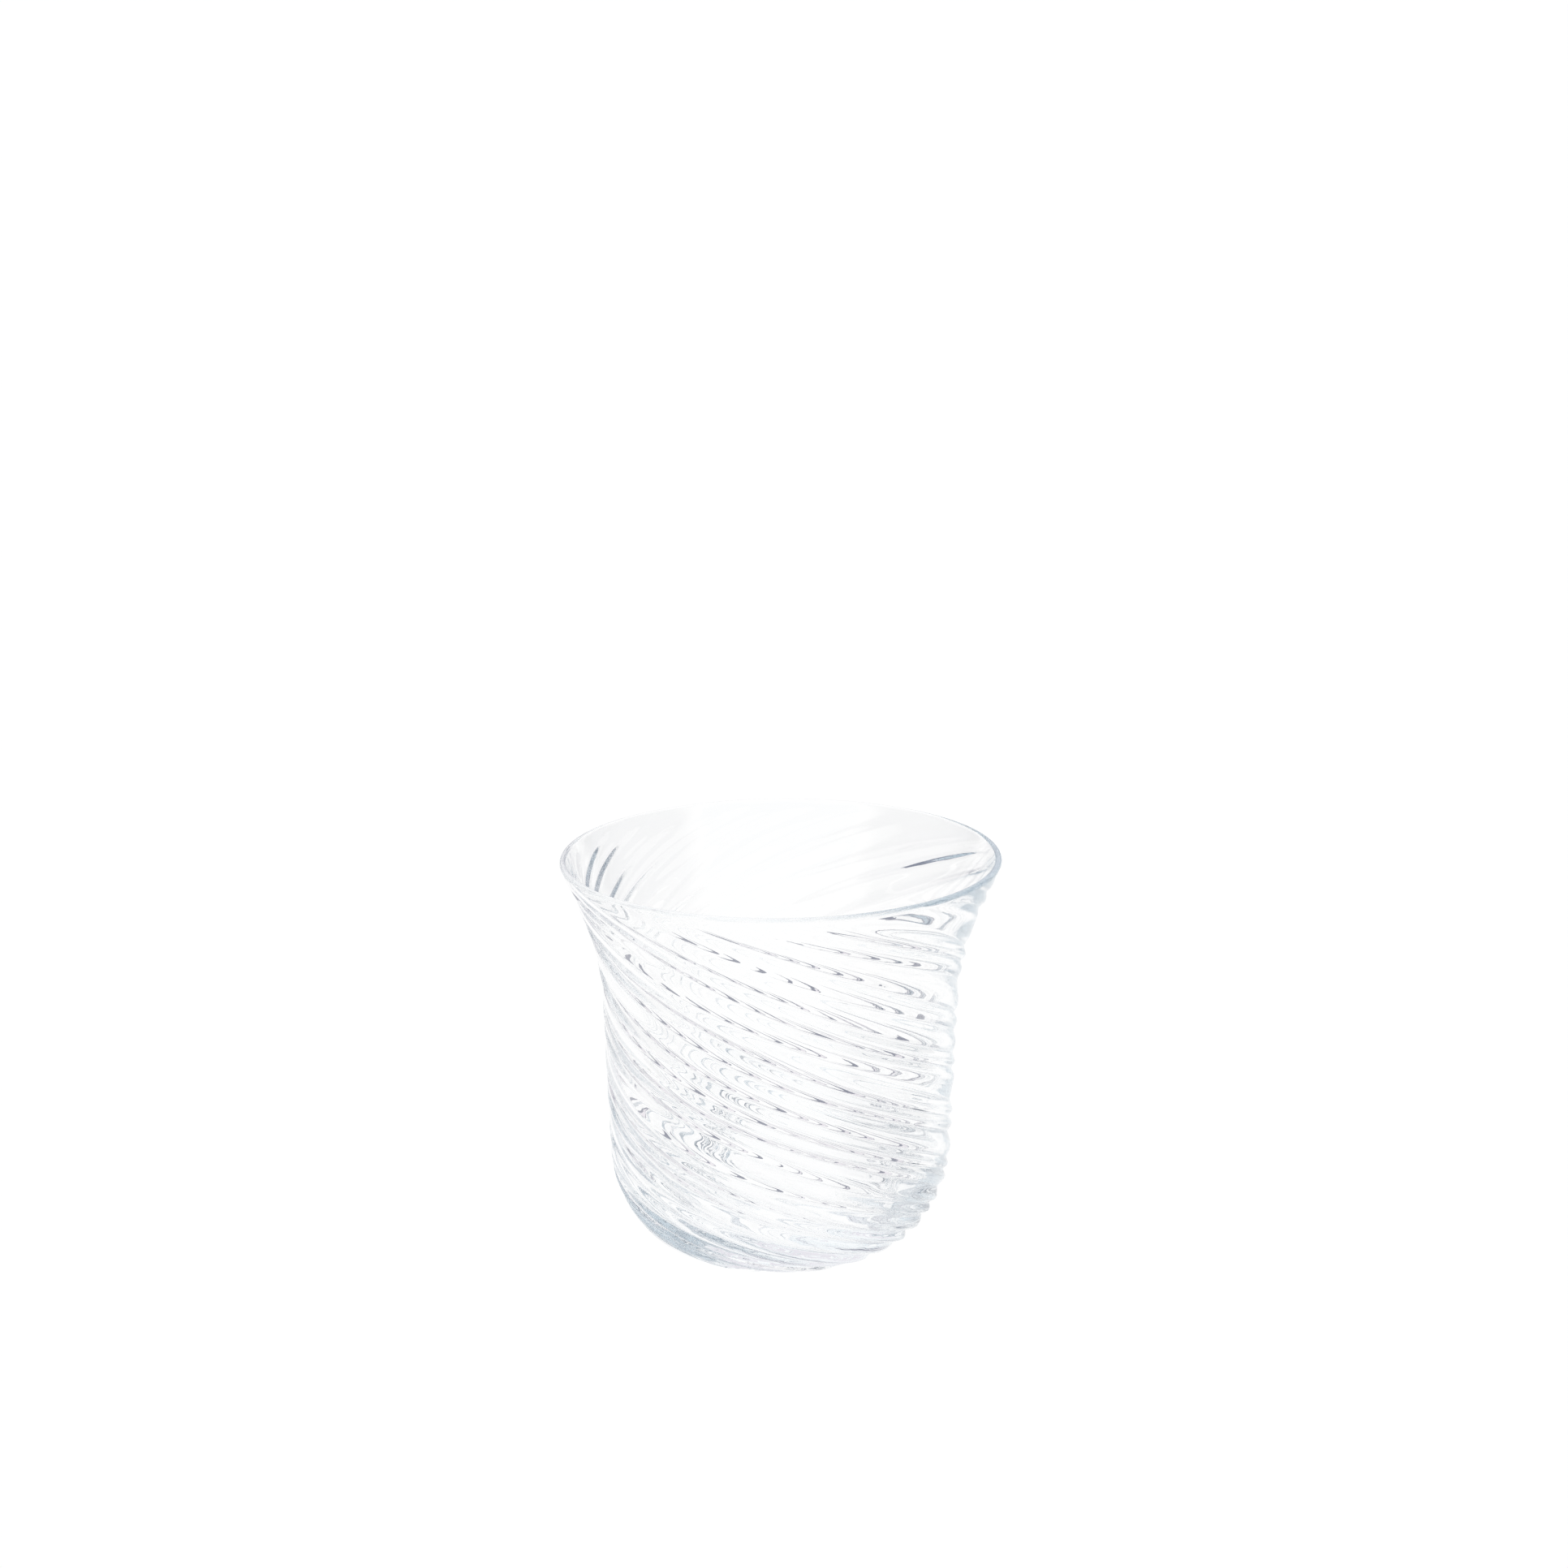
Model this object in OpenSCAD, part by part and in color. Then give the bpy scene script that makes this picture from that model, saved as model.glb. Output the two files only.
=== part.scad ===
// Clear glass tumbler, blown in one piece. A flat round foot rises through an elliptical heel
// into a nearly upright wall, which bends out to a flared lip with a rounded rim. Spiral ribs
// stand on the outside: they are deepest at the heel and melt away below the rim.
// The origin is the middle of the foot, on the surface the tumbler stands on.

/* [Outline] */
// Outside diameter across the rim
rim_d = 90; // [86:0.5:96]
// Overall height from the foot to the top of the rim
height = 82.5; // [76:0.5:92]
// Outside diameter of the wall where it leaves the heel
wall_d = 70; // [66:0.2:74]
// Diameter of the flat foot
foot_d = 34.6; // [28:0.2:42]
// Height over which the heel rounds up into the wall
heel_rise = 22; // [16:0.5:28]
// Lean of the wall away from upright, in degrees
wall_lean = 2.3; // [1:0.1:4]
// Flare of the lip away from upright, in degrees
lip_flare = 25; // [20:0.5:32]
// Radius of the bend between the wall and the lip
bend_r = 60; // [30:1:70]

/* [Glass] */
// Thickness of the wall where it leaves the heel
wall_t = 2.1; // [1.6:0.1:3]
// Thickness of the lip, which the rim rounds off
lip_t = 1.4; // [1:0.1:1.8]
// Thickness of the floor in the middle
floor_t = 6.5; // [4:0.5:9]
// Diameter of the flat part of the floor inside
floor_d = 24; // [16:1:34]

/* [Ribs] */
// Number of spiral ribs round the wall
rib_count = 20; // [14:1:21]
// Height of a crest above its groove at the heel
heel_rib_h = 1.2; // [0.2:0.05:1.4]
// Height of a crest above its groove on the wall
wall_rib_h = 0.55; // [0.2:0.05:1.2]
// Angle a rib turns through between the foot and the rim, in degrees
rib_turn = 375; // [0:5:420]
// How much tighter the ribs turn at the foot than at the rim
turn_bias = 0.22; // [0:0.02:0.4]
// Length along the outline over which the ribs rise from the foot
foot_fade = 9; // [4:1:16]
// Length along the outline over which the ribs melt into the lip
lip_fade = 9; // [6:1:24]

/* [Hidden] */

$fn = 96;

// Columns of surface points on each rib, and rows of points up each stretch of the outline
rib_columns = 6;
heel_rows = 12;
wall_rows = 13;
bend_rows = 9;
lip_rows = 2;
rim_rows = 4;
// Points round the inside of the heel
bore_heel_rows = 12;
// Angle above level at which the rim's rounding gives way to its flat crown
crown_at = 78;
// How far the bore runs past the rim, so that it cuts the mouth clean
mouth_clear = 5;

foot_r = foot_d / 2;
wall_r = wall_d / 2;
// The rim is rounded about the end of the lip's mid line
rim_r = lip_t / 2;
rim_mid = [rim_d / 2 - rim_r, height - rim_r * sin(crown_at)];
lip_end = rim_mid + rim_r * [cos(lip_flare), -sin(lip_flare)];

// Corner where the straight wall and the straight lip would meet
corner_z = lip_end.y - (lip_end.x - wall_r - (lip_end.y - heel_rise) * tan(wall_lean))
    / (tan(lip_flare) - tan(wall_lean));
corner = [wall_r + (corner_z - heel_rise) * tan(wall_lean), corner_z];
// Length of wall and lip that the bend takes up on each side of that corner
half_bend = (lip_flare - wall_lean) / 2;
wall_room = (corner_z - heel_rise) / cos(wall_lean);
lip_room = (lip_end.y - corner_z) / cos(lip_flare);
bend_reach = min(bend_r * tan(half_bend), 0.9 * wall_room, 0.9 * lip_room);
bend_used_r = bend_reach / tan(half_bend);
bend_start = corner - bend_reach * [sin(wall_lean), cos(wall_lean)];
bend_end = corner + bend_reach * [sin(lip_flare), cos(lip_flare)];
bend_mid = bend_start + bend_used_r * [cos(wall_lean), -sin(wall_lean)];

// Outline of the outside, from the edge of the foot up to the rim, as [radius, height]
heel_line = [for (i = [0 : heel_rows]) let (a = 90 * i / heel_rows)
    [foot_r + (wall_r - foot_r) * sin(a), heel_rise * (1 - cos(a))]];
wall_line = [for (i = [1 : wall_rows]) between([wall_r, heel_rise], bend_start, i / wall_rows)];
bend_line = [for (i = [1 : bend_rows]) let (a = wall_lean + 2 * half_bend * i / bend_rows)
    bend_mid + bend_used_r * [-cos(a), sin(a)]];
lip_line = [for (i = [1 : lip_rows]) between(bend_end, lip_end, i / lip_rows)];
rim_line = [for (i = [1 : rim_rows]) rim_point(between(-lip_flare, crown_at, i / rim_rows))];
outline = concat(heel_line, wall_line, bend_line, lip_line, rim_line);

rows = len(outline);
columns = rib_count * rib_columns;
// Distance travelled along the outline at each of its points
travel = [for (i = 0, s = 0; i < rows; s = s + step_from(i), i = i + 1) s];
full_travel = travel[rows - 1];

function between(a, b, t) = a + (b - a) * t;
function rim_point(a) = rim_mid + rim_r * [cos(a), sin(a)];
function step_from(i) = i + 1 < rows ? norm(outline[i + 1] - outline[i]) : 0;
// Smooth rise from 0 to 1
function ease(x) = (1 - cos(180 * min(1, max(0, x)))) / 2;

// Direction square to the outline at one of its points, pointing out of the glass
function outward(i) =
    let (way = outline[min(i + 1, rows - 1)] - outline[max(i - 1, 0)])
    [way.y, -way.x] / norm(way);

// Height of a rib's crest above its groove, at a point along the outline
function rib_h(i) = between(heel_rib_h, wall_rib_h, ease(outline[i].y / heel_rise))
    * ease(travel[i] / foot_fade) * ease((full_travel - travel[i]) / lip_fade);

// Angle that the ribs have turned by at a point along the outline
function turned(i) = let (t = travel[i] / full_travel) rib_turn * t * (1 + turn_bias * (1 - t));

// Point on the ribbed surface: the ribs swell half above the outline and half below it
function skin_point(i, j) =
    let (swell = -cos(360 * j / rib_columns) / 2 * rib_h(i))
    let (p = outline[i] + outward(i) * swell)
    let (a = 360 * j / columns - turned(i))
    [p.x * cos(a), p.x * sin(a), i == 0 ? 0 : p.y];

function skin_index(i, j) = i * columns + j % columns;

// Solid shape of the outside, closed by the foot and by the flat crown of the rim
module ribbed_blank() {
    points = [for (i = [0 : rows - 1]) for (j = [0 : columns - 1]) skin_point(i, j)];
    foot = [for (j = [0 : columns - 1]) skin_index(0, j)];
    top = [for (j = [columns - 1 : -1 : 0]) skin_index(rows - 1, j)];
    upper_halves = [for (i = [0 : rows - 2]) for (j = [0 : columns - 1])
        [skin_index(i, j), skin_index(i + 1, j), skin_index(i + 1, j + 1)]];
    lower_halves = [for (i = [0 : rows - 2]) for (j = [0 : columns - 1])
        [skin_index(i, j), skin_index(i + 1, j + 1), skin_index(i, j + 1)]];
    polyhedron(points, concat([foot], upper_halves, lower_halves, [top]));
}

// Smooth inside of the cup: flat floor, elliptical heel, the wall and lip at their thickness,
// and the inner half of the rounded rim
module bore() {
    first = heel_rows;
    last = rows - 1 - rim_rows;
    function thickness(i) =
        between(wall_t, lip_t, (travel[i] - travel[first]) / (travel[last] - travel[first]));
    bore_r = wall_r - wall_t;
    floor_r = floor_d / 2;
    heel = [for (i = [0 : bore_heel_rows - 1]) let (a = 90 * i / bore_heel_rows)
        [floor_r + (bore_r - floor_r) * sin(a), heel_rise - (heel_rise - floor_t) * cos(a)]];
    side = [for (i = [first : last - 1]) outline[i] - outward(i) * thickness(i)];
    rim = [for (i = [0 : rim_rows])
        rim_point(between(180 - lip_flare, 180 - crown_at, i / rim_rows))];
    mouth = rim[rim_rows] + [0, mouth_clear];
    rotate_extrude()
        polygon(concat([[0, floor_t]], heel, side, rim, [mouth], [[0, mouth.y]]));
}

module glass_cup() {
    color([0.86, 0.92, 0.94, 0.5])
        difference() {
            ribbed_blank();
            bore();
        }
}

glass_cup();
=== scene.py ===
"""Looks for a clear blown-glass tumbler with spiral ribs, standing on a lit white table."""

import logging
import math
from dataclasses import dataclass, field
from enum import Enum

import bpy
import numpy as np
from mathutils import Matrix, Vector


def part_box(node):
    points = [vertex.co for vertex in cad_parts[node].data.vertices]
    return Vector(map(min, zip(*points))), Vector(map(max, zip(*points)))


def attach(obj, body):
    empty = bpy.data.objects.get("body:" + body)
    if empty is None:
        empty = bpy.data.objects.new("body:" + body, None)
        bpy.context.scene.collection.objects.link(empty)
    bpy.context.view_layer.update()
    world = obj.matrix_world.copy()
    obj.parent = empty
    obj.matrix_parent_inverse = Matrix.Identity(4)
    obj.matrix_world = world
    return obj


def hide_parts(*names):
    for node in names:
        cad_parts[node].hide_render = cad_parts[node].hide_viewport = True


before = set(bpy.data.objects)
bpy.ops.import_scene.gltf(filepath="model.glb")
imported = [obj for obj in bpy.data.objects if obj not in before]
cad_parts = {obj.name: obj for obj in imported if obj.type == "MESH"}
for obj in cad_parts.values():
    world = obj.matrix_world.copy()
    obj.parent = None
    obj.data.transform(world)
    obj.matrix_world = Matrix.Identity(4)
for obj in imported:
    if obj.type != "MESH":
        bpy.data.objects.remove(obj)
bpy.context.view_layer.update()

MM = 0.001

log = logging.getLogger("tumbler")


class Face(Enum):
    """The two faces of the blown wall."""

    OUTSIDE = "outside"
    INSIDE = "inside"


def ease(share: np.ndarray) -> np.ndarray:
    """Rise smoothly from 0 to 1.

    Args:
        share: How far along the rise, clipped to 0 and 1.

    Returns:
        The eased share.
    """
    return (1 - np.cos(math.pi * np.clip(share, 0, 1))) / 2


def straight(start: np.ndarray, end: np.ndarray, count: int = 60) -> np.ndarray:
    """Points along a straight stretch of an outline.

    Args:
        start: First point, as radius and height.
        end: Last point.
        count: Number of points.

    Returns:
        The points, one per row.
    """
    share = np.linspace(0, 1, count)[:, None]
    return start + (end - start) * share


def arc(
    mid: np.ndarray, reach: tuple[float, float], start: float, end: float, count: int = 90
) -> np.ndarray:
    """Points along a round stretch of an outline.

    Args:
        mid: Middle of the circle or ellipse.
        reach: Its radius outward and its radius upward.
        start: First angle, in degrees above level.
        end: Last angle.
        count: Number of points.

    Returns:
        The points, one per row.
    """
    angle = np.radians(np.linspace(start, end, count))
    return mid + np.column_stack([reach[0] * np.cos(angle), reach[1] * np.sin(angle)])


def travel_of(line: np.ndarray) -> np.ndarray:
    """Distance travelled along a line at each of its points."""
    return np.concatenate([[0], np.cumsum(np.linalg.norm(np.diff(line, axis=0), axis=1))])


def even_steps(line: np.ndarray, count: int, turn_worth: float = 4.0 * MM) -> np.ndarray:
    """Walk a line in even steps, which grow shorter where the line turns.

    Args:
        line: Close-set points of the line.
        count: Number of points wanted.
        turn_worth: Length that turning through one radian counts for.

    Returns:
        Points along the line.
    """
    way = np.unwrap(np.arctan2(*np.diff(line, axis=0).T[::-1]))
    turning = np.concatenate([[0], np.cumsum(np.abs(np.diff(way, prepend=way[0])))])
    effort = travel_of(line) + turn_worth * turning
    stops = np.linspace(0, effort[-1], count)
    return np.column_stack([np.interp(stops, effort, line[:, axis]) for axis in (0, 1)])


def outward_of(line: np.ndarray) -> np.ndarray:
    """Directions square to an outline, to the right of the way that it runs.

    Args:
        line: Points of the outline, as radius and height.

    Returns:
        One direction for each point.
    """
    way = np.gradient(line, axis=0)
    square = np.column_stack([way[:, 1], -way[:, 0]])
    return square / np.linalg.norm(square, axis=1)[:, None]


@dataclass(frozen=True)
class Outline:
    """The tumbler's turned outline, in metres and degrees."""

    rim_r: float
    height: float
    wall_r: float = 35.0 * MM
    foot_r: float = 17.3 * MM
    heel_rise: float = 22.0 * MM
    wall_lean: float = 2.3
    lip_flare: float = 25.0
    bend_r: float = 60.0 * MM
    wall_t: float = 2.1 * MM
    lip_t: float = 1.4 * MM
    floor_t: float = 6.5 * MM
    floor_r: float = 12.0 * MM

    @staticmethod
    def leaning(angle: float) -> np.ndarray:
        """Direction up an outline that leans by an angle in degrees from upright."""
        return np.array([math.sin(math.radians(angle)), math.cos(math.radians(angle))])

    def rim_mid(self) -> np.ndarray:
        """Middle of the rounding along the rim."""
        return np.array([self.rim_r - self.lip_t / 2, self.height - self.lip_t / 2])

    def side(self) -> np.ndarray:
        """Wall, bend and lip, from the heel up to where the rim starts to round.

        Returns:
            Close-set points, as radius and height.
        """
        low = np.array([self.wall_r, self.heel_rise])
        up_wall = self.leaning(self.wall_lean)
        up_lip = self.leaning(self.lip_flare)
        top = self.rim_mid() + self.lip_t / 2 * np.array([up_lip[1], -up_lip[0]])
        lengths = np.linalg.solve(np.column_stack([up_wall, up_lip]), top - low)
        corner = low + lengths[0] * up_wall
        half_bend = math.radians(self.lip_flare - self.wall_lean) / 2
        reach = self.bend_r * math.tan(half_bend)
        bend_mid = corner - reach * up_wall + self.bend_r * np.array([up_wall[1], -up_wall[0]])
        bend = arc(bend_mid, (self.bend_r,) * 2, 180 - self.wall_lean, 180 - self.lip_flare)
        return np.vstack([straight(low, bend[0])[:-1], bend, straight(bend[-1], top)[1:]])

    def outside(self) -> np.ndarray:
        """Outline of the outer face, from the foot's edge up to the crown of the rim.

        Returns:
            Close-set points, as radius and height.
        """
        heel_mid = np.array([self.foot_r, self.heel_rise])
        heel = arc(heel_mid, (self.wall_r - self.foot_r, self.heel_rise), -90, 0)
        rim = arc(self.rim_mid(), (self.lip_t / 2,) * 2, -self.lip_flare, 90)
        return np.vstack([heel[:-1], self.side(), rim[1:]])

    def inside(self) -> np.ndarray:
        """Outline of the inner face, from the crown of the rim down to the floor's flat middle.

        Returns:
            Close-set points, as radius and height.
        """
        rim = arc(self.rim_mid(), (self.lip_t / 2,) * 2, 90, 180 - self.lip_flare)
        side = self.side()
        share = travel_of(side) / travel_of(side)[-1]
        thickness = self.wall_t + (self.lip_t - self.wall_t) * share
        side = (side - outward_of(side) * thickness[:, None])[::-1]
        heel_mid = np.array([self.floor_r, self.heel_rise])
        reach = (self.wall_r - self.wall_t - self.floor_r, self.heel_rise - self.floor_t)
        heel = arc(heel_mid, reach, 0, -90)
        return np.vstack([rim[:-1], side[:-1], heel])


@dataclass(frozen=True)
class SpiralRibs:
    """The ribs that wind up the outside, in metres and degrees."""

    count: int = 20
    heel_h: float = 1.45 * MM
    wall_h: float = 0.65 * MM
    turn: float = 375.0
    turn_bias: float = 0.22
    foot_fade: float = 4.0 * MM
    lip_fade: float = 9.0 * MM
    crest_power: float = 0.65
    echo: float = 0.2

    def turned(self, share: np.ndarray) -> np.ndarray:
        """Angle the ribs have turned by at a share of the way up the outline, in radians."""
        return math.radians(self.turn) * share * (1 + self.turn_bias * (1 - share))

    def height(self, travel: np.ndarray, heel_travel: float) -> np.ndarray:
        """Height of a crest above its groove along the outline.

        Args:
            travel: Distances along the outline from the foot's edge.
            heel_travel: Length of the heel.

        Returns:
            The height at each distance.
        """
        blend = ease(travel / heel_travel)
        body = self.heel_h + (self.wall_h - self.heel_h) * blend
        return body * ease(travel / self.foot_fade) * ease((travel[-1] - travel) / self.lip_fade)

    def swell(self, phase: np.ndarray) -> np.ndarray:
        """Shape across the ribs: a full round crest and a narrower groove.

        Args:
            phase: Position across the ribs, one whole number per rib.

        Returns:
            Swell between -0.5 in a groove and 0.5 on a crest.
        """
        wave = (1 - np.cos(2 * math.pi * phase)) / 2
        return wave ** self.crest_power - 0.5


@dataclass(frozen=True)
class HandBlown:
    """The small unevenness of a hand-blown piece, in metres and radians."""

    seed: int = 11
    drift: float = 0.16
    unequal: float = 0.16
    out_of_round: float = 0.35 * MM
    oval_turn: float = 0.9
    rim_tip: float = 0.40 * MM
    tip_rest: float = 0.6
    lift_power: int = 3
    waves: int = 7
    most_rounds: int = 9
    most_climbs: float = 2.5

    def wander(self, angle: np.ndarray, share: np.ndarray, salt: int) -> np.ndarray:
        """A slow, seamless, random drift over the wall.

        Args:
            angle: Angles round the axis, in radians.
            share: Shares of the way up the wall.
            salt: Number that sets one drift apart from another.

        Returns:
            The drift, about 1 in size.
        """
        dice = np.random.default_rng(self.seed + salt)
        total = np.zeros(np.broadcast(angle, share).shape)
        for _ in range(self.waves):
            rounds = dice.integers(1, self.most_rounds + 1)
            climbs = dice.uniform(-self.most_climbs, self.most_climbs)
            start = dice.uniform(0, 2 * math.pi)
            total = total + np.cos(rounds * angle + 2 * math.pi * climbs * share + start)
        return total / math.sqrt(self.waves / 2)


@dataclass(frozen=True)
class ClearGlass:
    """Fire-polished clear glass with a faint cool tint."""

    ior: float = 1.52
    tint: tuple[float, float, float] = (0.72, 0.86, 0.94)
    depth: float = 3.0
    ripple: float = 0.02
    heel_ripple: float = 0.5
    ripple_scale: tuple[float, float, float] = (110.0, 110.0, 330.0)
    ripple_detail: float = 1.5
    ripple_depth: float = 0.7 * MM
    heel_top: float = 26.0 * MM
    polish: tuple[float, float] = (0.0, 0.02)
    polish_from: tuple[float, float] = (0.45, 0.8)

    def make(self) -> bpy.types.Material:
        """Build the glass.

        Returns:
            The material.
        """
        glass = bpy.data.materials.new("clear_glass")
        glass.use_nodes = True
        nodes, links = glass.node_tree.nodes, glass.node_tree.links
        nodes.clear()
        out = nodes.new("ShaderNodeOutputMaterial")
        shade = nodes.new("ShaderNodeBsdfPrincipled")
        shade.inputs["Base Color"].default_value = (1, 1, 1, 1)
        shade.inputs["Transmission Weight"].default_value = 1.0
        shade.inputs["IOR"].default_value = self.ior
        where = nodes.new("ShaderNodeTexCoord")
        stretch = nodes.new("ShaderNodeMapping")
        stretch.inputs["Scale"].default_value = self.ripple_scale
        ripple = nodes.new("ShaderNodeTexNoise")
        ripple.inputs["Scale"].default_value = 1.0
        ripple.inputs["Detail"].default_value = self.ripple_detail
        level = nodes.new("ShaderNodeSeparateXYZ")
        heel = nodes.new("ShaderNodeMapRange")
        heel.inputs["From Min"].default_value = self.heel_top
        heel.inputs["From Max"].default_value = 0.0
        heel.inputs["To Min"].default_value = self.ripple
        heel.inputs["To Max"].default_value = self.heel_ripple
        bump = nodes.new("ShaderNodeBump")
        bump.inputs["Distance"].default_value = self.ripple_depth
        links.new(where.outputs["Object"], stretch.inputs["Vector"])
        links.new(where.outputs["Object"], level.inputs["Vector"])
        links.new(level.outputs["Z"], heel.inputs["Value"])
        links.new(heel.outputs["Result"], bump.inputs["Strength"])
        polish = nodes.new("ShaderNodeMapRange")
        polish.inputs["From Min"].default_value = self.polish_from[0]
        polish.inputs["From Max"].default_value = self.polish_from[1]
        polish.inputs["To Min"].default_value = self.polish[0]
        polish.inputs["To Max"].default_value = self.polish[1]
        links.new(stretch.outputs["Vector"], ripple.inputs["Vector"])
        links.new(ripple.outputs["Fac"], bump.inputs["Height"])
        links.new(ripple.outputs["Fac"], polish.inputs["Value"])
        links.new(bump.outputs["Normal"], shade.inputs["Normal"])
        links.new(polish.outputs["Result"], shade.inputs["Roughness"])
        links.new(shade.outputs["BSDF"], out.inputs["Surface"])
        body = nodes.new("ShaderNodeVolumeAbsorption")
        body.inputs["Color"].default_value = (*self.tint, 1)
        body.inputs["Density"].default_value = self.depth
        links.new(body.outputs["Volume"], out.inputs["Volume"])
        return glass


@dataclass(frozen=True)
class LitSheet:
    """Evenly lit paper or acrylic, whose shade may be painted on point by point."""

    name: str
    glow: float = 1.0
    shade: str = ""

    def make(self) -> bpy.types.Material:
        """Build the finish.

        Returns:
            The material.
        """
        finish = bpy.data.materials.new(self.name)
        finish.use_nodes = True
        nodes, links = finish.node_tree.nodes, finish.node_tree.links
        nodes.clear()
        out = nodes.new("ShaderNodeOutputMaterial")
        light = nodes.new("ShaderNodeEmission")
        light.inputs["Strength"].default_value = self.glow
        if self.shade:
            painted = nodes.new("ShaderNodeAttribute")
            painted.attribute_name = self.shade
            links.new(painted.outputs["Color"], light.inputs["Color"])
        links.new(light.outputs["Emission"], out.inputs["Surface"])
        finish.cycles.emission_sampling = "NONE"
        return finish


@dataclass
class Tumbler:
    """The whole tumbler, which is one piece of glass.

    The mesh's columns follow the twist of the ribs up to twist_end, a share of the way up.
    """

    outline: Outline
    ribs: SpiralRibs = field(default_factory=SpiralRibs)
    hand: HandBlown = field(default_factory=HandBlown)
    glass: ClearGlass = field(default_factory=ClearGlass)
    columns_per_rib: int = 16
    outer_rows: int = 156
    inner_rows: int = 96
    disc_middle: int = 10
    twist_end: float = 0.975

    def columns(self) -> int:
        """Number of points in each ring."""
        return self.ribs.count * self.columns_per_rib

    def face(self, which: Face) -> np.ndarray:
        """Rings of points over one face of the wall.

        Args:
            which: The outer face, from foot to crown, or the inner one, from crown to floor.

        Returns:
            Points as rings by columns by x, y, z.
        """
        outer = which is Face.OUTSIDE
        line = self.outline.outside() if outer else self.outline.inside()
        line = even_steps(line, self.outer_rows if outer else self.inner_rows)
        travel = travel_of(line)
        share = travel / travel[-1]
        if not outer:
            share = 1 - share
        start = 2 * math.pi * np.arange(self.columns())[None, :] / self.columns()
        angle = start - self.ribs.turned(np.minimum(share, self.twist_end))[:, None]
        untwisted = angle + self.ribs.turned(share)[:, None]
        if outer:
            away = outward_of(line)
            heel_travel = travel[np.searchsorted(line[:, 1], self.outline.heel_rise)]
            height = self.ribs.height(travel, heel_travel)
        else:
            away = -outward_of(line)
            height = self.inner_height(line)
        drift = self.hand.drift * self.hand.wander(untwisted, share[:, None], salt=1)
        uneven = 1 + self.hand.unequal * self.hand.wander(untwisted, share[:, None], salt=2)
        phase = self.ribs.count * untwisted / (2 * math.pi) + drift
        swell = self.ribs.swell(phase) * height[:, None] * uneven
        radius = line[:, 0][:, None] + away[:, 0][:, None] * swell
        # Crests that would dip below the foot are ground flat
        level = np.maximum(line[:, 1][:, None] + away[:, 1][:, None] * swell, 0)
        return self.uneven_lip(radius, level, angle)

    def inner_height(self, line: np.ndarray) -> np.ndarray:
        """Height of the soft echo that the ribs leave on the inner face.

        Args:
            line: Outline of the inner face, from the crown down.

        Returns:
            The height at each point.
        """
        travel = travel_of(line)
        below_lip = ease(travel / self.ribs.lip_fade)
        above_floor = ease((travel[-1] - travel) / self.ribs.lip_fade)
        return self.ribs.echo * self.ribs.wall_h * below_lip * above_floor

    def uneven_lip(self, radius: np.ndarray, level: np.ndarray, angle: np.ndarray) -> np.ndarray:
        """Turn radii, levels and angles into points, with the lip a little out of true.

        Args:
            radius: Distances from the axis.
            level: Heights above the foot.
            angle: Angles round the axis.

        Returns:
            The points.
        """
        lift = np.clip(level / self.outline.height, 0, 1) ** self.hand.lift_power
        oval = np.cos(2 * angle + self.hand.oval_turn)
        radius = radius + self.hand.out_of_round / 2 * lift * oval
        x = radius * np.cos(angle)
        y = radius * np.sin(angle)
        z = level + self.hand.rim_tip * lift * (x / self.outline.rim_r - self.hand.tip_rest)
        return np.stack([x, y, z], axis=-1)

    def wall_rings(self) -> np.ndarray:
        """All rings of the wall in order, up the outside and down the inside.

        Returns:
            Points as rings by columns by x, y, z.
        """
        return np.concatenate([self.face(Face.OUTSIDE), self.face(Face.INSIDE)[1:]])

    def disc(
        self, edge: np.ndarray, first: int, next_point: int, turn_over: bool
    ) -> tuple[list[list[float]], list[tuple[int, ...]]]:
        """Close a ring with a flat disc whose rings have half as many points each step inwards.

        Args:
            edge: Points of the ring.
            first: Number of the ring's first point in the mesh.
            next_point: Number that the disc's first new point will have.
            turn_over: Whether the disc faces down.

        Returns:
            The new points and the new faces.
        """
        points, faces = [], []
        outer, outer_at = edge, first
        steps = int(math.log2(len(edge) // self.disc_middle))
        for step in range(1, steps + 1):
            inner = outer[::2].copy()
            inner[:, :2] *= (1 - step / (steps + 1)) / (1 - (step - 1) / (steps + 1))
            inner_at = next_point + len(points)
            points += inner.tolist()
            for k in range(len(inner)):
                here, there = inner_at + k, inner_at + (k + 1) % len(inner)
                left, mid, right = (outer_at + (2 * k + n) % len(outer) for n in range(3))
                faces += [(here, left, mid), (here, mid, there), (there, mid, right)]
            outer, outer_at = inner, inner_at
        faces.append(tuple(range(outer_at, outer_at + len(outer))))
        return points, [face[::-1] for face in faces] if turn_over else faces

    def shape(self) -> bpy.types.Mesh:
        """Build the closed mesh.

        Returns:
            The mesh, in metres in the row's frame.
        """
        rings = self.wall_rings()
        count, columns = rings.shape[:2]
        ring, column = np.meshgrid(np.arange(count - 1), np.arange(columns), indexing="ij")
        near = ring * columns + column
        beside = ring * columns + (column + 1) % columns
        quads = np.stack([near, beside, beside + columns, near + columns], axis=-1).reshape(-1, 4)
        flat = rings.reshape(-1, 3)
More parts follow.
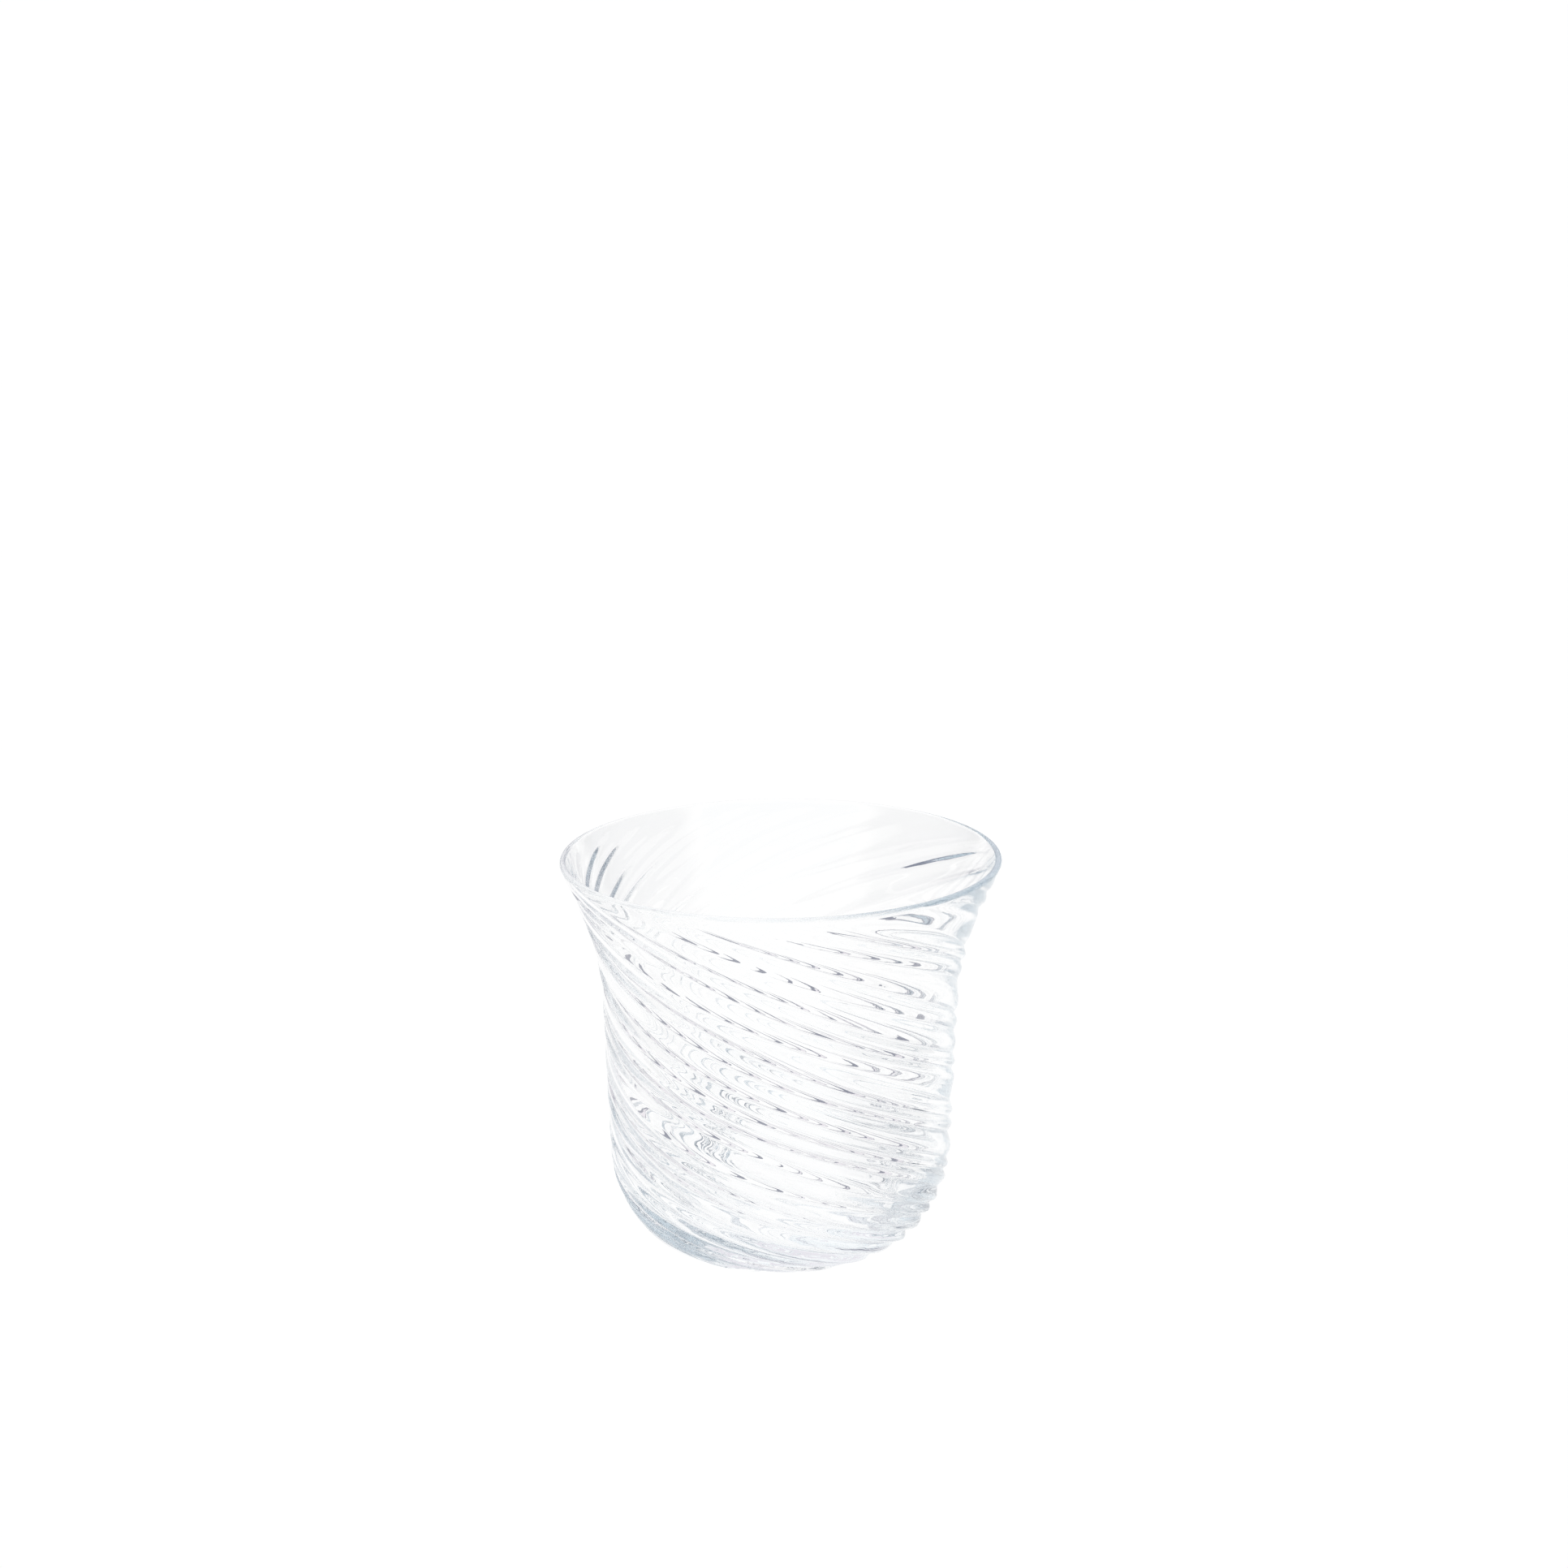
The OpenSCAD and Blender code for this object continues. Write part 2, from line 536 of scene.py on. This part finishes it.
        # Each face starts at an end of its shorter diagonal, along which it is then split
        first_way = np.linalg.norm(flat[quads[:, 0]] - flat[quads[:, 2]], axis=1)
        other_way = np.linalg.norm(flat[quads[:, 1]] - flat[quads[:, 3]], axis=1)
        quads[other_way < first_way] = np.roll(quads[other_way < first_way], 1, axis=1)
        points, faces = flat.tolist(), quads.tolist()
        for edge, turn_over in ((0, True), (count - 1, False)):
            more_points, more_faces = self.disc(rings[edge], edge * columns, len(points), turn_over)
            points += more_points
            faces += more_faces
        mesh = bpy.data.meshes.new("ribbed_glass_tumbler")
        mesh.from_pydata(points, [], faces)
        mesh.polygons.foreach_set("use_smooth", np.ones(len(mesh.polygons), bool))
        mesh.validate()
        mesh.update()
        return mesh

    def build(self) -> bpy.types.Object:
        """Make the tumbler, dress it in glass and stand it on the root body.

        Returns:
            The tumbler.
        """
        tumbler = bpy.data.objects.new("ribbed_glass_tumbler", self.shape())
        bpy.context.scene.collection.objects.link(tumbler)
        tumbler.data.materials.append(self.glass.make())
        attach(tumbler, "root")
        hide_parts("glass_cup")
        return tumbler


@dataclass(frozen=True)
class Viewpoint:
    """The camera and where it stands, in metres and degrees, with the lens in millimetres."""

    lens: float = 100.0
    sensor: float = 36.0
    distance: float = 0.889
    look_down: float = 15.07
    sight_to_rim: float = 16.04
    aside: float = 0.7 * MM
    clip: tuple[float, float] = (0.05, 50.0)

    def place(self, rim_height: float) -> bpy.types.Object:
        """Set up the camera.

        Args:
            rim_height: Height of the rim's widest line, which the distance is measured to.

        Returns:
            The camera.
        """
        lens = bpy.data.cameras.new("camera")
        lens.lens = self.lens
        lens.sensor_width = self.sensor
        lens.clip_start, lens.clip_end = self.clip
        camera = bpy.data.objects.new("camera", lens)
        bpy.context.scene.collection.objects.link(camera)
        down = math.radians(self.sight_to_rim)
        back = self.distance * math.cos(down)
        camera.location = (self.aside, -back, rim_height + self.distance * math.sin(down))
        camera.rotation_euler = (math.radians(90 - self.look_down), 0, 0)
        bpy.context.scene.camera = camera
        return camera


@dataclass(frozen=True)
class PaintedShadeWall:
    """A soft-edged glowing sheet darkened with painted shade, standing round part of the table's
    edge.

    Its section runs upwards, as distances from the axis and heights in metres. Its middle, its
    width and its soft edges are azimuths in degrees, from 0 behind the tumbler to 90 on its right.
    """

    name: str
    middle: float
    width: float
    section: tuple[tuple[float, float], ...]
    shade_colour: tuple[float, float, float]
    soft: float = 18.0
    steps: int = 48

    def cover(self, azimuth: np.ndarray) -> np.ndarray:
        """How strongly the wall's painted shade shows at each azimuth.

        Args:
            azimuth: Azimuths in degrees.

        Returns:
            Shares from 0, which is white, to 1.
        """
        return ease((self.width / 2 - np.abs(azimuth - self.middle)) / self.soft + 0.5)

    def put_up(self) -> bpy.types.Object:
        """Put the wall up.

        Returns:
            The wall.
        """
        reach = (self.width + self.soft) / 2
        azimuth = self.middle + np.linspace(-reach, reach, self.steps + 1)
        turn = np.radians(azimuth)
        points = [(r * math.sin(a), r * math.cos(a), z) for r, z in self.section for a in turn]
        row = self.steps + 1
        faces = [
            (low + k, low + k + 1, low + row + k + 1, low + row + k)
            for low in range(0, row * (len(self.section) - 1), row)
            for k in range(self.steps)
        ]
        mesh = bpy.data.meshes.new(self.name)
        mesh.from_pydata(points, [], faces)
        # Painted shade: each point glows white darkened towards the wall's colour, fading out at
        # the soft edges
        paint = mesh.color_attributes.new("shade", "FLOAT_COLOR", "POINT")
        strength = np.tile(self.cover(azimuth), len(self.section))
        shades = np.ones((strength.size, 4))
        shades[:, :3] += (np.array(self.shade_colour) - 1) * strength[:, None]
        paint.data.foreach_set("color", shades.ravel())
        mesh.materials.append(LitSheet(self.name, shade="shade").make())
        sheet = bpy.data.objects.new(self.name, mesh)
        bpy.context.scene.collection.objects.link(sheet)
        return sheet


@dataclass(frozen=True)
class Studio:
    """The lit table, the bright room and the walls of painted shade that the glass mirrors and
    bends.

    Sizes are in metres and azimuths in degrees. Three walls stand over one another on each side of
    the tumbler, two behind it and one in front, at the camera's back.
    """

    table_r: float = 3.3
    table_sides: int = 64
    table_drop: float = 0.2 * MM
    table_glow: float = 1.01
    room_glow: float = 1.01
    bounces: int = 96
    side_r: float = 3.0
    side_width: float = 78.0
    right: float = 84.0
    left: float = 276.0
    low_top: float = 0.68
    middle_top: float = 1.40
    high_edge: tuple[float, float] = (2.6, 4.4)
    back_r: float = 3.2
    back_width: float = 66.0
    grey_top: float = 0.44
    pale_top: float = 1.5
    front_width: float = 100.0
    front_edge: tuple[float, float] = (2.4, 4.2)

    def table(self) -> bpy.types.Object:
        """Lay the lit white table top.

        Returns:
            The table.
        """
        mesh = bpy.data.meshes.new("table")
        around = [2 * math.pi * k / self.table_sides for k in range(self.table_sides)]
        edge = [(self.table_r * math.cos(a), self.table_r * math.sin(a), 0) for a in around]
        mesh.from_pydata(edge, [], [tuple(range(self.table_sides))])
        mesh.materials.append(LitSheet("lit_table", glow=self.table_glow).make())
        table = bpy.data.objects.new("table", mesh)
        table.location.z = -self.table_drop
        bpy.context.scene.collection.objects.link(table)
        return table

    def room(self) -> None:
        """Fill the room with even white light."""
        world = bpy.data.worlds.new("room")
        world.use_nodes = True
        light = world.node_tree.nodes["Background"]
        light.inputs["Color"].default_value = (1, 1, 1, 1)
        light.inputs["Strength"].default_value = self.room_glow
        world.cycles.sampling_method = "NONE"
        bpy.context.scene.world = world

    def film(self) -> None:
        """Show light as it is, and let it pass through every wall of the glass."""
        scene = bpy.context.scene
        scene.view_settings.view_transform = "Standard"
        scene.view_settings.look = "None"
        scene.cycles.max_bounces = self.bounces
        scene.cycles.transmission_bounces = self.bounces
        scene.cycles.glossy_bounces = self.bounces
        scene.cycles.caustics_reflective = True
        scene.cycles.caustics_refractive = True

    def walls(self) -> list[PaintedShadeWall]:
        """The walls of painted shade round the table, which stand outside what the camera frames.

        Returns:
            The walls.
        """
        low = ((self.side_r, 0.0), (self.side_r, self.low_top))
        middle = ((self.side_r, self.low_top), (self.side_r, self.middle_top))
        high = ((self.side_r, self.middle_top), self.high_edge)
        grey = ((self.back_r, 0.0), (self.back_r, self.grey_top))
        pale = ((self.back_r, self.grey_top), (self.back_r, self.pale_top))
        front = ((self.back_r, self.pale_top), self.front_edge)
        on_right = (self.right, self.side_width)
        on_left = (self.left, self.side_width)
        behind = (0, self.back_width)
        in_front = (180, self.front_width)
        # Painted shade: each wall glows darker than the white room, bluish and darkest low on the
        # sides, for the glass to bend and mirror
        return [
            PaintedShadeWall("blue_painted_shade_on_right", *on_right, low, (0.03, 0.06, 0.11)),
            PaintedShadeWall("lighter_painted_shade_on_right", *on_right, middle, (0.14, 0.18, 0.26)),
            PaintedShadeWall("high_painted_shade_on_right", *on_right, high, (0.10, 0.14, 0.20)),
            PaintedShadeWall("grey_painted_shade_on_left", *on_left, low, (0.03, 0.05, 0.09)),
            PaintedShadeWall("lighter_painted_shade_on_left", *on_left, middle, (0.16, 0.19, 0.26)),
            PaintedShadeWall("high_painted_shade_on_left", *on_left, high, (0.08, 0.11, 0.17)),
            PaintedShadeWall("grey_painted_shade_behind", *behind, grey, (0.22, 0.23, 0.30)),
            PaintedShadeWall("pale_painted_shade_behind", *behind, pale, (0.84, 0.80, 0.85)),
            PaintedShadeWall("pale_painted_shade_in_front", *in_front, front, (0.70, 0.78, 0.84)),
        ]


def main() -> None:
    """Build the camera, the studio and the tumbler, and report each piece."""
    low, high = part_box("glass_cup")
    outline = Outline(rim_r=(high.x - low.x) / 2, height=high.z)
    Viewpoint().place(outline.rim_mid()[1])
    log.info("camera placed")
    studio = Studio()
    studio.film()
    studio.room()
    studio.table()
    for wall in studio.walls():
        wall.put_up()
        log.info("%s put up", wall.name)
    tumbler = Tumbler(outline).build()
    log.info("%s: %d faces", tumbler.name, len(tumbler.data.polygons))


if __name__ == "__main__":
    logging.basicConfig(level=logging.INFO)
    main()
